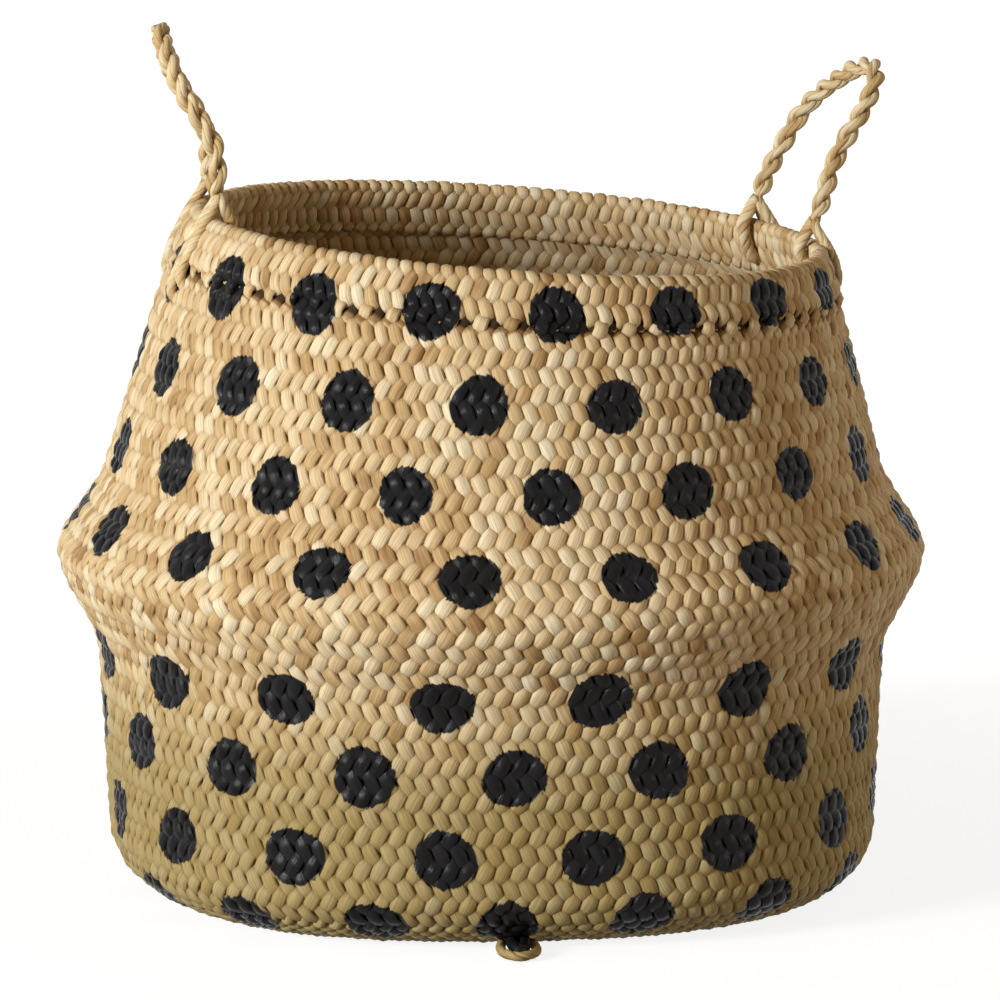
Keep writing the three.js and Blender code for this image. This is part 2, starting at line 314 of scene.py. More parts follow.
def mat_place(x, y, side_cells, first_row, row_height):
    """Where a cell of the square mat lies, as arc length and angle.

    The diamond |x| + |y| <= side_cells is laid on the round base: as it is near the middle, and so that its
    edge becomes the circle where the wall's first row starts. Past it the cell is the wall's.
    """
    quadrant = np.where((x > 0) & (y >= 0), 0, np.where((x <= 0) & (y > 0), 1, np.where(x < 0, 2, 3)))
    first = np.choose(quadrant, [x, y, -x, -y])
    second = np.choose(quadrant, [y, -x, -y, x])
    total = first + second
    share = total / side_cells
    along = np.where(total <= side_cells, side_cells * second / np.maximum(total, 1e-6),
                     (second - first + side_cells) / 2)
    edge_angle = (quadrant + along / side_cells) * math.pi / 2
    edge_arc = np.where(share <= 1, first_row * share, first_row + (total - side_cells) * row_height)
    weight = smooth(share)
    u = (1 - weight) * CENTRE_CELL * x + weight * edge_arc * np.cos(edge_angle)
    v = (1 - weight) * CENTRE_CELL * y + weight * edge_arc * np.sin(edge_angle)
    return np.hypot(u, v), np.arctan2(v, u) + CORNER_ANGLE


def arc_and_angle(points):
    """Arc length, angle and distance from the axis of points on or close to the sheet."""
    height = points[..., 2]
    lean = NECK_LEAN * up_share(height)
    x, y = points[..., 0] - lean, points[..., 1]
    angle = np.arctan2(y, x)
    radius = np.hypot(x, y) / corner_factor(height, angle)
    edge = slice(EDGE_STEPS + 2)
    on_edge = np.interp(radius + height, (ARC_RADIUS + ARC_LEVEL)[edge], ARC[edge])
    on_wall = np.interp(level_at(height, angle), ARC_LEVEL[EDGE_STEPS:], ARC[EDGE_STEPS:])
    return np.where(height < BOTTOM_ROUND_UP, on_edge, on_wall), angle, np.hypot(x, y)


def dot_depth(points, diameter, seed=5):
    """How deep a point lies in the nearest printed dot: its wavy radius less the distance to its middle."""
    arc, angle, radius = arc_and_angle(points)
    random = np.random.default_rng(seed)
    best = np.full(arc.shape, float(NO_DOT))
    for level, count, first, rise, wide, high in DOT_ROWS:
        pitch = 2 * math.pi / count
        start = math.radians(first)
        index = np.round((angle - start) / pitch).astype(int)
        size = diameter / 2 * random.uniform(*DOT_SIZES, count)
        shift = random.normal(0, DOT_STRAY, (2, count))
        waves = random.uniform(0, 2 * math.pi, (2, count))
        index_in_row = index % count
        middle = np.interp(level + rise * np.cos(angle), ARC_LEVEL, ARC)
        across = ((angle - start - index * pitch) * radius + shift[0][index_in_row]) / wide
        up = (arc - middle + shift[1][index_in_row]) / high
        around = np.arctan2(up, across)
        wavy = 1 + DOT_WAVES[0] * np.cos(2 * around + waves[0][index_in_row]) + DOT_WAVES[1] * np.cos(
            3 * around + waves[1][index_in_row])
        best = np.maximum(best, size[index_in_row] * wavy - np.hypot(across, up))
    return best


def soft_noise(table, place):
    """Values eased from one random one to the next. Place counts along their row."""
    last = table.shape[1] - 2
    low = np.clip(np.floor(place).astype(int), 0, last)
    share = smooth(place - low)
    rows = np.arange(table.shape[0])[:, None]
    return table[rows, low] * (1 - share) + table[rows, low + 1] * share


def strands(centre, normal, width, thick, values, offset):
    """Closed strands with an oval section, as one array: strand, step along it, corner round it.

    centre and normal are [strand, step, 3]; width and thick are [strand, step]; each of values is that or
    has one more axis for the corner. offset shifts each strand's fibre pattern.
    """
    count, steps = centre.shape[:2]
    tangent = unit(np.gradient(centre, axis=1))
    side = unit(np.cross(normal, tangent))
    up = np.cross(tangent, side)
    out = np.cos(CORNER_TURN)[:, None] * side[:, :, None] * width[:, :, None, None] / 2
    rise = CORNER_RISE[:, None] * up[:, :, None] * thick[:, :, None, None] / 2
    points = centre[:, :, None] + out + rise
    index = np.arange(points[..., 0].size).reshape(count, steps, STRAND_SIDES)
    next_index = np.roll(index, -1, axis=2)
    quads = np.stack([index[:, :-1], next_index[:, :-1], next_index[:, 1:], index[:, 1:]], -1)
    run = np.linalg.norm(np.diff(centre, axis=1), axis=2)
    run = np.concatenate([np.zeros((count, 1)), np.cumsum(run, 1)], 1) + offset[:, None]
    girth = math.pi * (width + thick) / 2
    return {
        "points": points, "quads": quads, "run": run, "girth": girth,
        "caps": np.stack([index[:, 0, ::-1], index[:, -1]], 1),
        "values": {key: np.broadcast_to(value if value.ndim == 3 else value[..., None], points.shape[:3])
                   for key, value in values.items()},
    }


def corner_maps(part, first, columns, rows):
    """Two maps for a part's faces: metres along and round each strand, and its own cell of one square."""
    margin, cap_width, cap_height = 0.02, 0.008, 0.4
    low_side, side_span = 0.06, 0.88
    count, steps = part["run"].shape
    along = np.linspace(0, 1, steps)
    sides = np.arange(STRAND_SIDES + 1) / STRAND_SIDES
    shape = (count, steps, STRAND_SIDES + 1)
    fibre = np.stack([
        np.broadcast_to(part["run"][..., None], shape),
        part["girth"][..., None] * sides], -1) / 1000
    cell = first + np.arange(count)
    left = (cell % columns)[:, None, None] / columns
    low = (cell // columns)[:, None, None] / rows
    spread = np.stack([
        np.broadcast_to(left + (margin + (1 - 2 * margin) * along[:, None]) / columns, shape),
        np.broadcast_to(low + (low_side + side_span * sides) / rows, shape)], -1)
    maps = []
    for grid in (fibre, spread):
        faces = np.stack([grid[:, :-1, :-1], grid[:, :-1, 1:], grid[:, 1:, 1:], grid[:, 1:, :-1]], -2)
        maps.append([faces.reshape(-1, 2)])
    maps[0].append(np.zeros((count * 2 * STRAND_SIDES, 2)))
    ends = np.stack([np.cos(CORNER_TURN) * cap_width / columns, CORNER_RISE * cap_height / rows], -1)
    middle = np.stack([np.stack([left[:, 0, 0] + share / columns, low[:, 0, 0] + 0.5 / rows], -1)
                       for share in (margin / 2, 1 - margin / 2)], 1)
    maps[1].append((middle[:, :, None] + ends).reshape(-1, 2))
    return maps


def new_piece(name, parts, material):
    """One mesh object from parts made by strands, with its fibre map, its flat map and its values."""
    total = sum(part["run"].shape[0] for part in parts)
    length = np.mean([np.ptp(part["run"], axis=1).mean() for part in parts])
    girth = np.mean([part["girth"].mean() for part in parts])
    columns = max(1, round(math.sqrt(total * girth / length)))
    rows = math.ceil(total / columns)
    points, quads, caps, maps, first, strand = [], [], [], [], 0, 0
    for part in parts:
        points.append(part["points"].reshape(-1, 3))
        quads.append(part["quads"].reshape(-1, 4) + first)
        caps.append(part["caps"].reshape(-1, STRAND_SIDES) + first)
        maps.append(corner_maps(part, strand, columns, rows))
        first += len(points[-1])
        strand += part["run"].shape[0]
    points, quads, caps = (np.concatenate(group) for group in (points, quads, caps))
    mesh = bpy.data.meshes.new(name)
    mesh.vertices.add(len(points))
    mesh.vertices.foreach_set("co", (points / 1000).astype(np.float32).ravel())
    mesh.loops.add(quads.size + caps.size)
    mesh.loops.foreach_set("vertex_index", np.concatenate([quads.ravel(), caps.ravel()]).astype(np.int32))
    starts = np.concatenate([np.arange(len(quads)) * 4, quads.size + np.arange(len(caps)) * STRAND_SIDES])
    mesh.polygons.add(len(starts))
    mesh.polygons.foreach_set("loop_start", starts.astype(np.int32))
    mesh.polygons.foreach_set("use_smooth", np.ones(len(starts), bool))
    mesh.update(calc_edges=True)
    for layer, which in (("OFBake", 1), ("fibre", 0)):
        flat = np.concatenate([m[which][0] for m in maps] + [m[which][1] for m in maps])
        mesh.uv_layers.new(name=layer).uv.foreach_set("vector", flat.astype(np.float32).ravel())
    for key in parts[0]["values"]:
        value = np.concatenate([part["values"][key].ravel() for part in parts])
        mesh.attributes.new(key, "FLOAT", "POINT").data.foreach_set("value", value.astype(np.float32))
    mesh.materials.append(material)
    piece = bpy.data.objects.new(name, mesh)
    bpy.context.scene.collection.objects.link(piece)
    return piece


def crest_shade_of(wave):
    """1 on the crown of a strand that lies on top and 0 where it dives, for each corner round it.

    wave is 1 where the strand lies outside and -1 where it lies inside. Its sides stay at a half.
    """
    # Painted shade: a strand's face darkens where it dives and on the side that faces the strands beneath.
    facing = np.clip(2 * CORNER_RISE, -1, 1)
    return 0.5 + 0.5 * wave[..., None] * facing * (0.55 + 0.45 * np.abs(CORNER_RISE))


def plait_part(place, other, wave, cells, settings, random):
    """Strands of one direction of the plait, and which of their corners lie on the outer side.

    place and other give points of the sheet's middle and the next strand's, with the normal at place. The
    strand waves from side to side of the sheet, and is as wide as the next one is away across its line.
    """
    centre, normal = place
    tangent = unit(np.gradient(centre, axis=1))
    apart = other - centre
    apart = apart - (apart * tangent).sum(-1, keepdims=True) * tangent
    spacing = np.linalg.norm(apart, axis=-1)
    count, steps = spacing.shape
    table = random.uniform(-1, 1, (3, count, int(np.ceil(cells.max())) + 3))
    swell, drift, patch = (soft_noise(t, cells) for t in table)
    girth = random.uniform(*GIRTHS, (count, 1))
    lift = settings.wave * 1000 * (1 + LIFT_SWELL * swell)
    side = unit(np.cross(normal, tangent))
    moved = centre + normal * (wave * lift)[..., None] + side * (DRIFT * drift * spacing)[..., None]
    width = spacing * (STRAND_FILL + WIDTH_SWELL * swell) * girth
    thick = settings.thickness * 1000 * (1 + THICKNESS_SWELL * swell) * girth
    tone = np.broadcast_to(random.uniform(0, 1, (count, 1)), spacing.shape)
    tone = (1 - PATCH_SHARE) * tone + PATCH_SHARE * (0.5 + 0.5 * patch)
    values = {"tone": np.clip(tone, 0, 1), "crest": crest_shade_of(wave)}
    part = strands(moved, normal, width, thick, values, random.uniform(0, FIBRE_SHIFT, count))
    return part, CORNER_RISE > -0.1


def finish_part(part, outside, dots):
    """Adds each corner's depth in the dots and its share of the lower body's greener straw."""
    points = part["points"]
    depth = np.where(outside, dot_depth(points, dots.diameter * 1000), NO_DOT)
    drop, fade = 40, 65
    green = 1 - smooth((points[..., 2] - WAIST_HEIGHT + drop) / fade)
    part["values"].update({"dot": depth, "green": green})
    return part


def under_hem(down):
    """1 where a strand has passed under the hem, 0 below it, and a smooth step between."""
    start, length = 1.2, 2.5
    return smooth((HEM_DEPTH + start - down) / length)


def wall_family(direction, first_row, last_row, settings, dots, random):
    """The wall's strands that climb to one side.

    Strand k lies at k plus or minus its row, in cells round the wall.
    """
    count = settings.strands
    rows = np.linspace(first_row, last_row, round((last_row - first_row) * 2 * SAMPLES_PER_KNOB) + 1)
    rows = np.broadcast_to(rows, (count, len(rows)))
    cell = np.arange(count)[:, None] + 0.5

    def place(shift):
        angle = 2 * math.pi * (cell + shift + direction * rows) / count
        arc = FIRST_ROW_ARC + rows * 2 * settings.row_height * 1000
        face = sheet_point(arc, angle)
        normal = sheet_normal(arc, angle)
        sunk = under_hem(true_height(RIM_HEIGHT, angle) - face[..., 2])
        return face - normal * (WALL_INSET + HEM_DIVE * sunk)[..., None], normal, sunk

    wave = direction * np.cos(2 * math.pi * rows)
    centre, normal, sunk = place(0)
    knobs = 2 * (rows - first_row)
    part, outside = plait_part((centre, normal), place(1)[0], wave, knobs, settings, random)

    # Painted shade: where a hem strand starts late, the wall in its slot is painted dark; crest goes to -1.
    slot_shade = sunk[..., None] * outside
    part["values"]["crest"] = part["values"]["crest"] * (1 - slot_shade) - slot_shade
    return finish_part(part, outside, dots)


def hem_family(direction, settings, dots, random):
    """The hem's strands, which run up its outside, over the rim and down its inside, with tucked ends.

    Of every second one that rises to the right most start late, which leaves slots at the hem's lower edge,
    dark from real shade and from shade painted on the wall below. Those that rise to the left all start a
    little way up, where they lie under the others.
    """
    count = settings.strands
    row_count = round(HEM_LENGTH / (settings.row_height * 1000))
    late = (random.uniform(0, 1, (count, 1)) < LATE_SHARE) & (np.arange(count)[:, None] % 2 == 0)
    early = random.uniform(*EARLY_START[direction], (count, 1))
    first = np.where(late & (direction > 0), random.uniform(*LATE_START, (count, 1)), early)
    rows = first + (row_count / 2 - first) * np.linspace(0, 1, row_count * (SAMPLES_PER_KNOB + 1) + 1)
    run = rows * 2 * HEM_LENGTH / row_count
    cell = np.arange(count)[:, None] + 0.5
    tuck_rows, tuck_run = 0.19, 2.4
    tuck = (OUTER_TUCK * (1 - smooth((rows - first) / tuck_rows))
            + INNER_TUCK * smooth((run - HEM_LENGTH + tuck_run) / tuck_run))

    def place(shift):
        angle = 2 * math.pi * (cell + shift + direction * rows) / count
        normal = hem_normal(run, angle)
        return hem_place(run, angle) - normal * tuck[..., None], normal

    wave = direction * np.cos(2 * math.pi * rows)
    part, outside = plait_part(place(0), place(1)[0], wave, 2 * (rows - first), settings, random)
    outer = (run < HEM_LENGTH * 0.45)[..., None] & outside
    return finish_part(part, outer, dots)


def mat_strands(axis, settings, dots, random):
    """The base's strands along X or Y, from edge to edge of the diamond and on to the wall's first rows."""
    side_cells = settings.strands // 4
    row_height = settings.row_height * 1000
    parts = []
    for index in range(-side_cells, side_cells):
        fixed = index + 0.5
        reach = side_cells - abs(fixed)
        # An end that climbs the wall to the right runs on for half a row, to end under the other one.
        low = -reach - (1 if (axis == 0) == (fixed > 0) else 0)
        high = reach + (1 if (axis == 0) == (fixed < 0) else 0)
        steps = max(round((high - low) * SAMPLES_PER_KNOB) + 1, 5)
        free = np.linspace(low, high, steps)[None]

        def place(shift):
            x, y = (free, fixed + shift + 0 * free) if axis == 0 else (fixed + shift + 0 * free, free)
            arc, angle = mat_place(x, y, side_cells, FIRST_ROW_ARC, row_height)
            normal = sheet_normal(arc, angle)
            inset = WALL_INSET + FLOOR_INSET * np.maximum(-normal[..., 2:], 0)
            return sheet_point(arc, angle) - normal * inset, normal

        wave = (1 if axis else -1) * np.cos(math.pi * (free + fixed))
        toward = 1 if fixed < 0 else -1
        part, outside = plait_part(place(0), place(toward)[0], wave, free - low, settings, random)
        parts.append(finish_part(part, outside, dots))
    return parts


def curve_through(points, step=0.8):
    """Even points along the centripetal Catmull-Rom curve through the given ones."""
    points = np.array(points, float)
    ends = np.concatenate([[2 * points[0] - points[1]], points, [2 * points[-1] - points[-2]]])
    pieces = []
    share = np.linspace(0, 1, 40, endpoint=False)[:, None]
    for p0, p1, p2, p3 in zip(ends, ends[1:], ends[2:], ends[3:]):
        d0, d1, d2 = (max(np.linalg.norm(b - a) ** 0.5, 1e-4) for a, b in ((p0, p1), (p1, p2), (p2, p3)))
        out = ((p1 - p0) / d0 - (p2 - p0) / (d0 + d1) + (p2 - p1) / d1) * d1
        into = ((p2 - p1) / d1 - (p3 - p1) / (d1 + d2) + (p3 - p2) / d2) * d1
        square, cube = share ** 2, share ** 3
        pieces.append(p1 + out * share + (-3 * p1 + 3 * p2 - 2 * out - into) * square
                      + (2 * p1 - 2 * p2 + out + into) * cube)
    fine = np.concatenate(pieces + [points[-1:]])
    run = np.concatenate([[0], np.cumsum(np.linalg.norm(np.diff(fine, axis=0), axis=1))])
    even = np.linspace(0, run[-1], max(round(run[-1] / step), 4) + 1)
    return np.stack([np.interp(even, run, fine[:, i]) for i in range(3)], 1), even


def leg_angles(handle_angle):
    half = math.asin(LEG_SPACING / 2 / RIM_RADIUS)
    return math.radians(handle_angle) - half, math.radians(handle_angle) + half


def pivot_point(angle):
    return rim_point(0, angle, HEM_THICKNESS / 2 - HEM_PROUD) + np.array([0, 0, PIVOT_RISE])


def bundle(path, run, facing, radius, lay, settings, shade, random):
    """Fine strands twisted into one ply: each one's middle turns at half the ply's radius, once in a lay.

    All sizes wobble a little. shade points to where the ply is seen from; its far strands get painted
    shade, as do the strands' inner sides.
    """
    count = settings.ply_strands
    tangent = unit(np.gradient(path, axis=0))
    first = unit(facing - (tangent * facing).sum(-1, keepdims=True) * tangent)
    second = np.cross(tangent, first)
    wobble = soft_noise(random.uniform(-1, 1, (count, 90)), np.tile(run / 4, (count, 1)))
    around = 2 * math.pi * (run / lay + np.arange(count)[:, None] / count) + 0.3 * wobble
    out = np.cos(around)[..., None] * first + np.sin(around)[..., None] * second
    centre = path + out * (0.5 * radius * (1 + 0.18 * wobble))[..., None]
    width = 1.3 * radius * (1 + 0.12 * wobble)
    thick = radius * (1 - 0.1 * wobble)
    # Painted shade: strands on the ply's far side, and the inner side of each strand, are darker.
    seen = 0.5 + 0.5 * np.clip((out * shade).sum(-1), -1, 1)
    crest = (0.65 + 0.35 * CORNER_RISE) * (0.4 + 0.6 * seen[..., None])
    zero = np.zeros_like(width)
    tone = np.clip(random.uniform(0.25, 1, (count, 1)) + 0.25 * wobble, 0, 1)
    values = {"tone": tone, "crest": crest, "dot": zero + NO_DOT, "green": zero + 0.25}
    return strands(centre, out, width, thick, values, random.uniform(0, FIBRE_SHIFT, count))


def twisted_rope(path, run, facing, settings, random):
    """Two plies twisted round a path: each ply's middle turns once in each lay, and the ends close in."""
    tangent = unit(np.gradient(path, axis=0))
    first = unit(facing - (tangent * facing).sum(-1, keepdims=True) * tangent)
    second = np.cross(tangent, first)
    radius = settings.diameter * 1000 / 4
    closing = 5
    close = 0.6 + 0.4 * np.minimum(smooth(run / closing), smooth((run[-1] - run) / closing))
    turn = 2 * math.pi * run / (settings.lay * 1000) + 0.3 * np.sin(run / 8)
    parts = []
    for ply in range(2):
        out = np.cos(turn + math.pi * ply)[:, None] * first + np.sin(turn + math.pi * ply)[:, None] * second
        swell = soft_noise(random.uniform(-1, 1, (1, 60)), (run / 6)[None])[0]
        centre = path + out * (radius * close)[:, None]
        ply_radius = 1.12 * radius * close * (1 + 0.12 * swell)
        parts.append(bundle(centre, run, out, ply_radius, ROPE_PLY_LAY, settings, out, random))
    return parts


def handle_parts(handle_angle, loop, settings, random):
    """A handle: a twisted rope along its own loop, from pivot to pivot."""
    first, second = (pivot_point(angle) for angle in leg_angles(handle_angle))
    along = unit(second - first)
    up = np.array([0.0, 0.0, 1.0])
    outwards = unit(np.cross(along, up))
    middle = (first + second) / 2
    points = [middle + along * side * LEG_SPACING / 2 + outwards * out + up * rise
              for side, out, rise in loop]
    path, run = curve_through([first, *points, second])
    return twisted_rope(path, run, outwards * 0.8 + up * -0.3, settings, random)


def ply_stations(tail):
    """Stations and radius of a leg's plies: a long and a short one outside the hem, and one inside."""
    return (
        ([(-8.5, 2.8, 0), (-6.0, 2.2, -1.2), (-3, 0.6, -2.4), (1, -1.6, -3.0), (tail * 0.6, -1.9, -3.6),
          (tail, -1.0, -4.0), (tail + 4, 2.0, -4.2)], 2.1),
        ([(-8.5, 2.8, 0), (-6.0, 2.2, 0.9), (-3, 0.6, 1.2), (1, -1.6, 1.0), (tail * 0.5, -1.9, 0.4),
          (tail * 0.8, -1.0, 0), (tail * 0.8 + 4, 2.0, -0.2)], 2.0),
        ([(-8.5, 2.8, 0), (-6.5, 4.0, 0.8), (-3, 5.8, 1.6), (1.5, 8.2, 2.2), (8, 8.7, 2.8), (13, 8.2, 3.2),
          (16, 5.0, 3.4)], 2.5),
    )


def tail_part(angle, stations, radius, settings, random):
    """A ply laid over the hem: a station is a drop from the rim, an inset and a shift round the rim."""
    points = [rim_point(max(down, 0), np.float64(angle + shift / RIM_RADIUS), inset) + (0, 0, max(-down, 0))
              for down, inset, shift in stations]
    path, run = curve_through(points, 0.9)
    radial = np.array([math.cos(angle), math.sin(angle), 0.0])
    out = path - rim_point(HEM_DEPTH * 0.4, np.float64(angle), HEM_THICKNESS / 2 - HEM_PROUD)
    facing = unit(radial * (out @ radial)[:, None] + np.array([0, 0, 1.0]) * np.maximum(out[:, 2:], 0))
    swell = soft_noise(random.uniform(-1, 1, (1, 40)), (run / 4)[None])[0]
    return bundle(path, run, facing, radius * (1 + 0.1 * swell), LAID_PLY_LAY, settings, facing, random)


def tuft_parts(settings, random):
    """Strand ends that come out under the front of the base and go back: two nested loops.

    The inner loop lies in the dot above it and is dyed.
    """
    parts = []
    for half, reach, rise, radius, dye in TUFT_LOOPS:
        outline = ((-0.8, TUFT_BACK), (-1, reach - 10), (-0.7, reach - 3.5), (0, reach), (0.7, reach - 3.5),
                   (1, reach - 10), (0.8, TUFT_BACK))
        path, run = curve_through([(half * side + TUFT_OFFSET, -out, rise) for side, out in outline], 0.9)
        upwards = np.broadcast_to(np.array([0.0, 0.0, 1.0]), path.shape)
        part = bundle(path, run, upwards, radius + 0 * run, TUFT_LAY, settings, upwards, random)
        part["values"].update({"dot": np.full(part["points"].shape[:3], float(dye)),
                               "green": np.ones(part["points"].shape[:3])})
        parts.append(part)
    return parts


def add_node(tree, kind, inputs=None, **settings):
    """A shader node with its settings and its inputs, each a value or another node's output."""
    node = tree.nodes.new(kind)
    for key, value in settings.items():
        setattr(node, key, value)
    for key, value in (inputs or {}).items():
        if isinstance(value, bpy.types.NodeSocket):
            tree.links.new(value, node.inputs[key])
        else:
            node.inputs[key].default_value = value
    return node


def add_value(tree, name):
    return add_node(tree, "ShaderNodeAttribute", attribute_name=name).outputs["Fac"]


def add_math(tree, operation, first, second):
    return add_node(tree, "ShaderNodeMath", {0: first, 1: second}, operation=operation).outputs[0]


def add_mix(tree, share, first, second, blend="MIX"):
    return add_node(tree, "ShaderNodeMix", {0: share, 6: first, 7: second}, data_type="RGBA",
                    blend_type=blend).outputs[2]


def add_range(tree, value, low, high, to_low, to_high):
    return add_node(tree, "ShaderNodeMapRange", {
        "Value": value, "From Min": low, "From Max": high, "To Min": to_low, "To Max": to_high},
        interpolation_type="SMOOTHSTEP").outputs[0]


def straw_material(name, colours, dots, lightness):
    """Dried seagrass: each strand has a tone and fine fibres, is greener below, and has shade painted in
    where it dives.

    The dots are dyed, with ragged edges, and the dye is worn in patches.
    """
    material = bpy.data.materials.new(name)
    material.use_nodes = True
    tree = material.node_tree
    shader = tree.nodes["Principled BSDF"]
    fibre_map = add_node(tree, "ShaderNodeUVMap", uv_map="fibre").outputs[0]

    def fibres(along, across, detail):
        """Noise with so many spots in a metre along and across the strand."""
        stretched = add_node(
            tree, "ShaderNodeMapping", {"Vector": fibre_map, "Scale": (along, across, 1)}).outputs[0]
        return add_node(tree, "ShaderNodeTexNoise", {
            "Vector": stretched, "Scale": 1.0, "Detail": detail, "Roughness": 0.6}).outputs["Fac"]

    def times(first, second):
        return add_math(tree, "MULTIPLY", first, second)

    fine = fibres(60, 2400, 3)
    broad = fibres(22, 300, 2)
    tone = add_value(tree, "tone")
    patches = times(add_math(tree, "SUBTRACT", broad, 0.35), 0.85)
    mixed = add_math(tree, "ADD", times(tone, 0.75), patches)
    ramp = add_node(tree, "ShaderNodeValToRGB", {"Fac": mixed})
    stops = [(0.05, colours.brown), (0.3, colours.honey), (0.55, colours.straw), (0.9, colours.cream)]
    for index, (place, colour) in enumerate(stops):
        stop = ramp.color_ramp.elements[index] if index < 2 else ramp.color_ramp.elements.new(place)
        stop.position = place
        stop.color = (*colour, 1)
    green = times(add_value(tree, "green"), colours.greening)
    colour = add_mix(tree, green, ramp.outputs[0], (*colours.olive, 1))
    crest = add_value(tree, "crest")
    # Fibre streaks, times painted deep shade where crest falls below 0 in the hem's slots.
    streak_and_shade = times(add_range(tree, fine, 0.3, 0.72, 0.72 * lightness, 1.1 * lightness),
                   add_range(tree, crest, -1.0, 0.0, 0.15, 1.0))
    grey = add_node(tree, "ShaderNodeCombineColor", {"Red": streak_and_shade, "Green": streak_and_shade, "Blue": streak_and_shade})
    colour = add_mix(tree, 1.0, colour, grey.outputs[0], "MULTIPLY")
    # Painted shade: the colour sinks towards the valley colour where a strand dives.
    valley_shade = add_range(tree, crest, 0.1, 0.8, 0.0, 1.0)
    shaded = add_mix(tree, 1.0, colour, (*colours.valley_shade, 1), "MULTIPLY")
    colour = add_mix(tree, valley_shade, shaded, colour)
    fray = times(add_math(tree, "SUBTRACT", fibres(70, 700, 1), 0.5), 3.0)
    ragged = add_math(tree, "ADD", add_value(tree, "dot"), fray)
    dyed = add_range(tree, ragged, -0.35, 0.35, 0.0, 1.0)
    worn = add_range(tree, broad, 0.3, 0.75, 0.0, 1.0)
    dye = add_mix(tree, worn, (*dots.colour, 1), (*dots.worn_colour, 1))
    colour = add_mix(tree, dyed, colour, dye)
    tree.links.new(colour, shader.inputs["Base Color"])
    rough = add_range(tree, fine, 0.2, 0.8, 0.62, 0.5)
    rough = add_math(tree, "SUBTRACT", rough, times(dyed, 0.6 - dots.roughness))
    tree.links.new(rough, shader.inputs["Roughness"])
    shader.inputs["Specular IOR Level"].default_value = 0.1
    relief = add_math(tree, "ADD", fine, times(broad, 0.8))
    bump = add_node(tree, "ShaderNodeBump", {"Height": relief, "Strength": 0.55, "Distance": 0.0004})
    tree.links.new(bump.outputs[0], shader.inputs["Normal"])
    return material


def once(scene, name, lightness=1.0):
    """The seagrass of that name, made if it isn't there yet."""
    return bpy.data.materials.get(name) or straw_material(
        name, scene.basket_colours, scene.basket_dots, lightness)


def plait_material(scene):
    return once(scene, "plaited_seagrass")


def rope_material(scene):
    return once(scene, "twisted_seagrass", 1.12)


def wall_piece(scene, seed, name, direction, first_row, last_row):
    random = np.random.default_rng(seed + direction)
    part = wall_family(direction, first_row, last_row, scene.basket_plait, scene.basket_dots, random)
    return new_piece(name, [part], plait_material(scene))


def length_property(name, description, default):
    return bpy.props.FloatProperty(
        name=name, description=description, default=default, min=0.0, precision=4, unit="LENGTH")


def colour_property(name, description, default):
    return bpy.props.FloatVectorProperty(
        name=name, description=description, default=default, min=0.0, max=1.0, size=3, subtype="COLOR")


def share_property(name, description, default):
    return bpy.props.FloatProperty(
        name=name, description=description, default=default, min=0.0, max=1.0, subtype="FACTOR")


def power_property(name, description, default):
    return bpy.props.FloatProperty(
        name=name, description=description, default=default, min=0.0, unit="POWER")


class BasketPlait(bpy.types.PropertyGroup):
    """The plait of the body and the hem."""

    strands: bpy.props.IntProperty(
        name="Strands", description="Strands in each direction, a multiple of four", default=144, min=32)
    row_height: length_property("Row height", "Distance between two rows of knobs on the wall", 0.0064)
    thickness: length_property("Thickness", "Thickness of one strand at its crown", 0.0023)
    wave: length_property("Wave", "How far a strand moves out and in as it is woven", 0.0008)


class BasketDots(bpy.types.PropertyGroup):
    """The printed dots."""

    diameter: length_property("Diameter", "Width of a dot along the wall", 0.0205)
    colour: colour_property("Dye", "Colour of the dye", (0.006, 0.005, 0.004))
    worn_colour: colour_property("Worn dye", "Colour where the dye is thin", (0.018, 0.017, 0.019))
    roughness: share_property("Roughness", "Roughness of the dyed straw", 0.28)


class BasketRopes(bpy.types.PropertyGroup):
    """The twisted ropes of the handles."""

    diameter: length_property("Diameter", "Thickness of the two-ply rope", 0.007)
    lay: length_property("Lay", "Length of one full turn of a ply", 0.018)
    ply_strands: bpy.props.IntProperty(
        name="Strands in a ply", description="Fine strands twisted into one ply", default=4, min=2)


class BasketColours(bpy.types.PropertyGroup):
    """The straw's colours."""

    brown: colour_property("Brown", "Darkest strands", (0.36, 0.19, 0.075))
    honey: colour_property("Honey", "Common darker strands", (0.63, 0.42, 0.195))
    straw: colour_property("Straw", "Common lighter strands", (0.81, 0.61, 0.35))
    cream: colour_property("Cream", "Lightest strands", (0.92, 0.79, 0.55))
    olive: colour_property("Olive", "Greener straw of the lower body", (0.36, 0.268, 0.094))
    # Painted shade: the colour that a strand's face sinks towards where it dives.
    valley_shade: colour_property("Valley", "How far colour sinks where a strand dives", (0.42, 0.32, 0.22))
    greening: share_property("Greening", "How far the lower body turns to olive", 0.8)


class BasketStage(bpy.types.PropertyGroup):
    """Floor, light and camera."""

    floor: colour_property("Floor", "Colour of the floor", (0.3, 0.29, 0.28))
    sky: colour_property("Soft light", "Colour and strength of the light all round", (0.215, 0.17, 0.11))
    floor_glow: share_property("Floor glow", "Light that the camera sees from the floor nearby", 0.86)
    distance: length_property("Distance", "Level distance from camera to basket", 2.931)
    height: length_property("Height", "Height of the camera above the floor", 0.6578)
    key_power: power_property("Key light", "Power of the lamp at the left", 88.0)
    fill_power: power_property("Fill light", "Power of the lamp at the right", 8.0)


class BasketOperator:
    bl_options = {"REGISTER", "UNDO"}


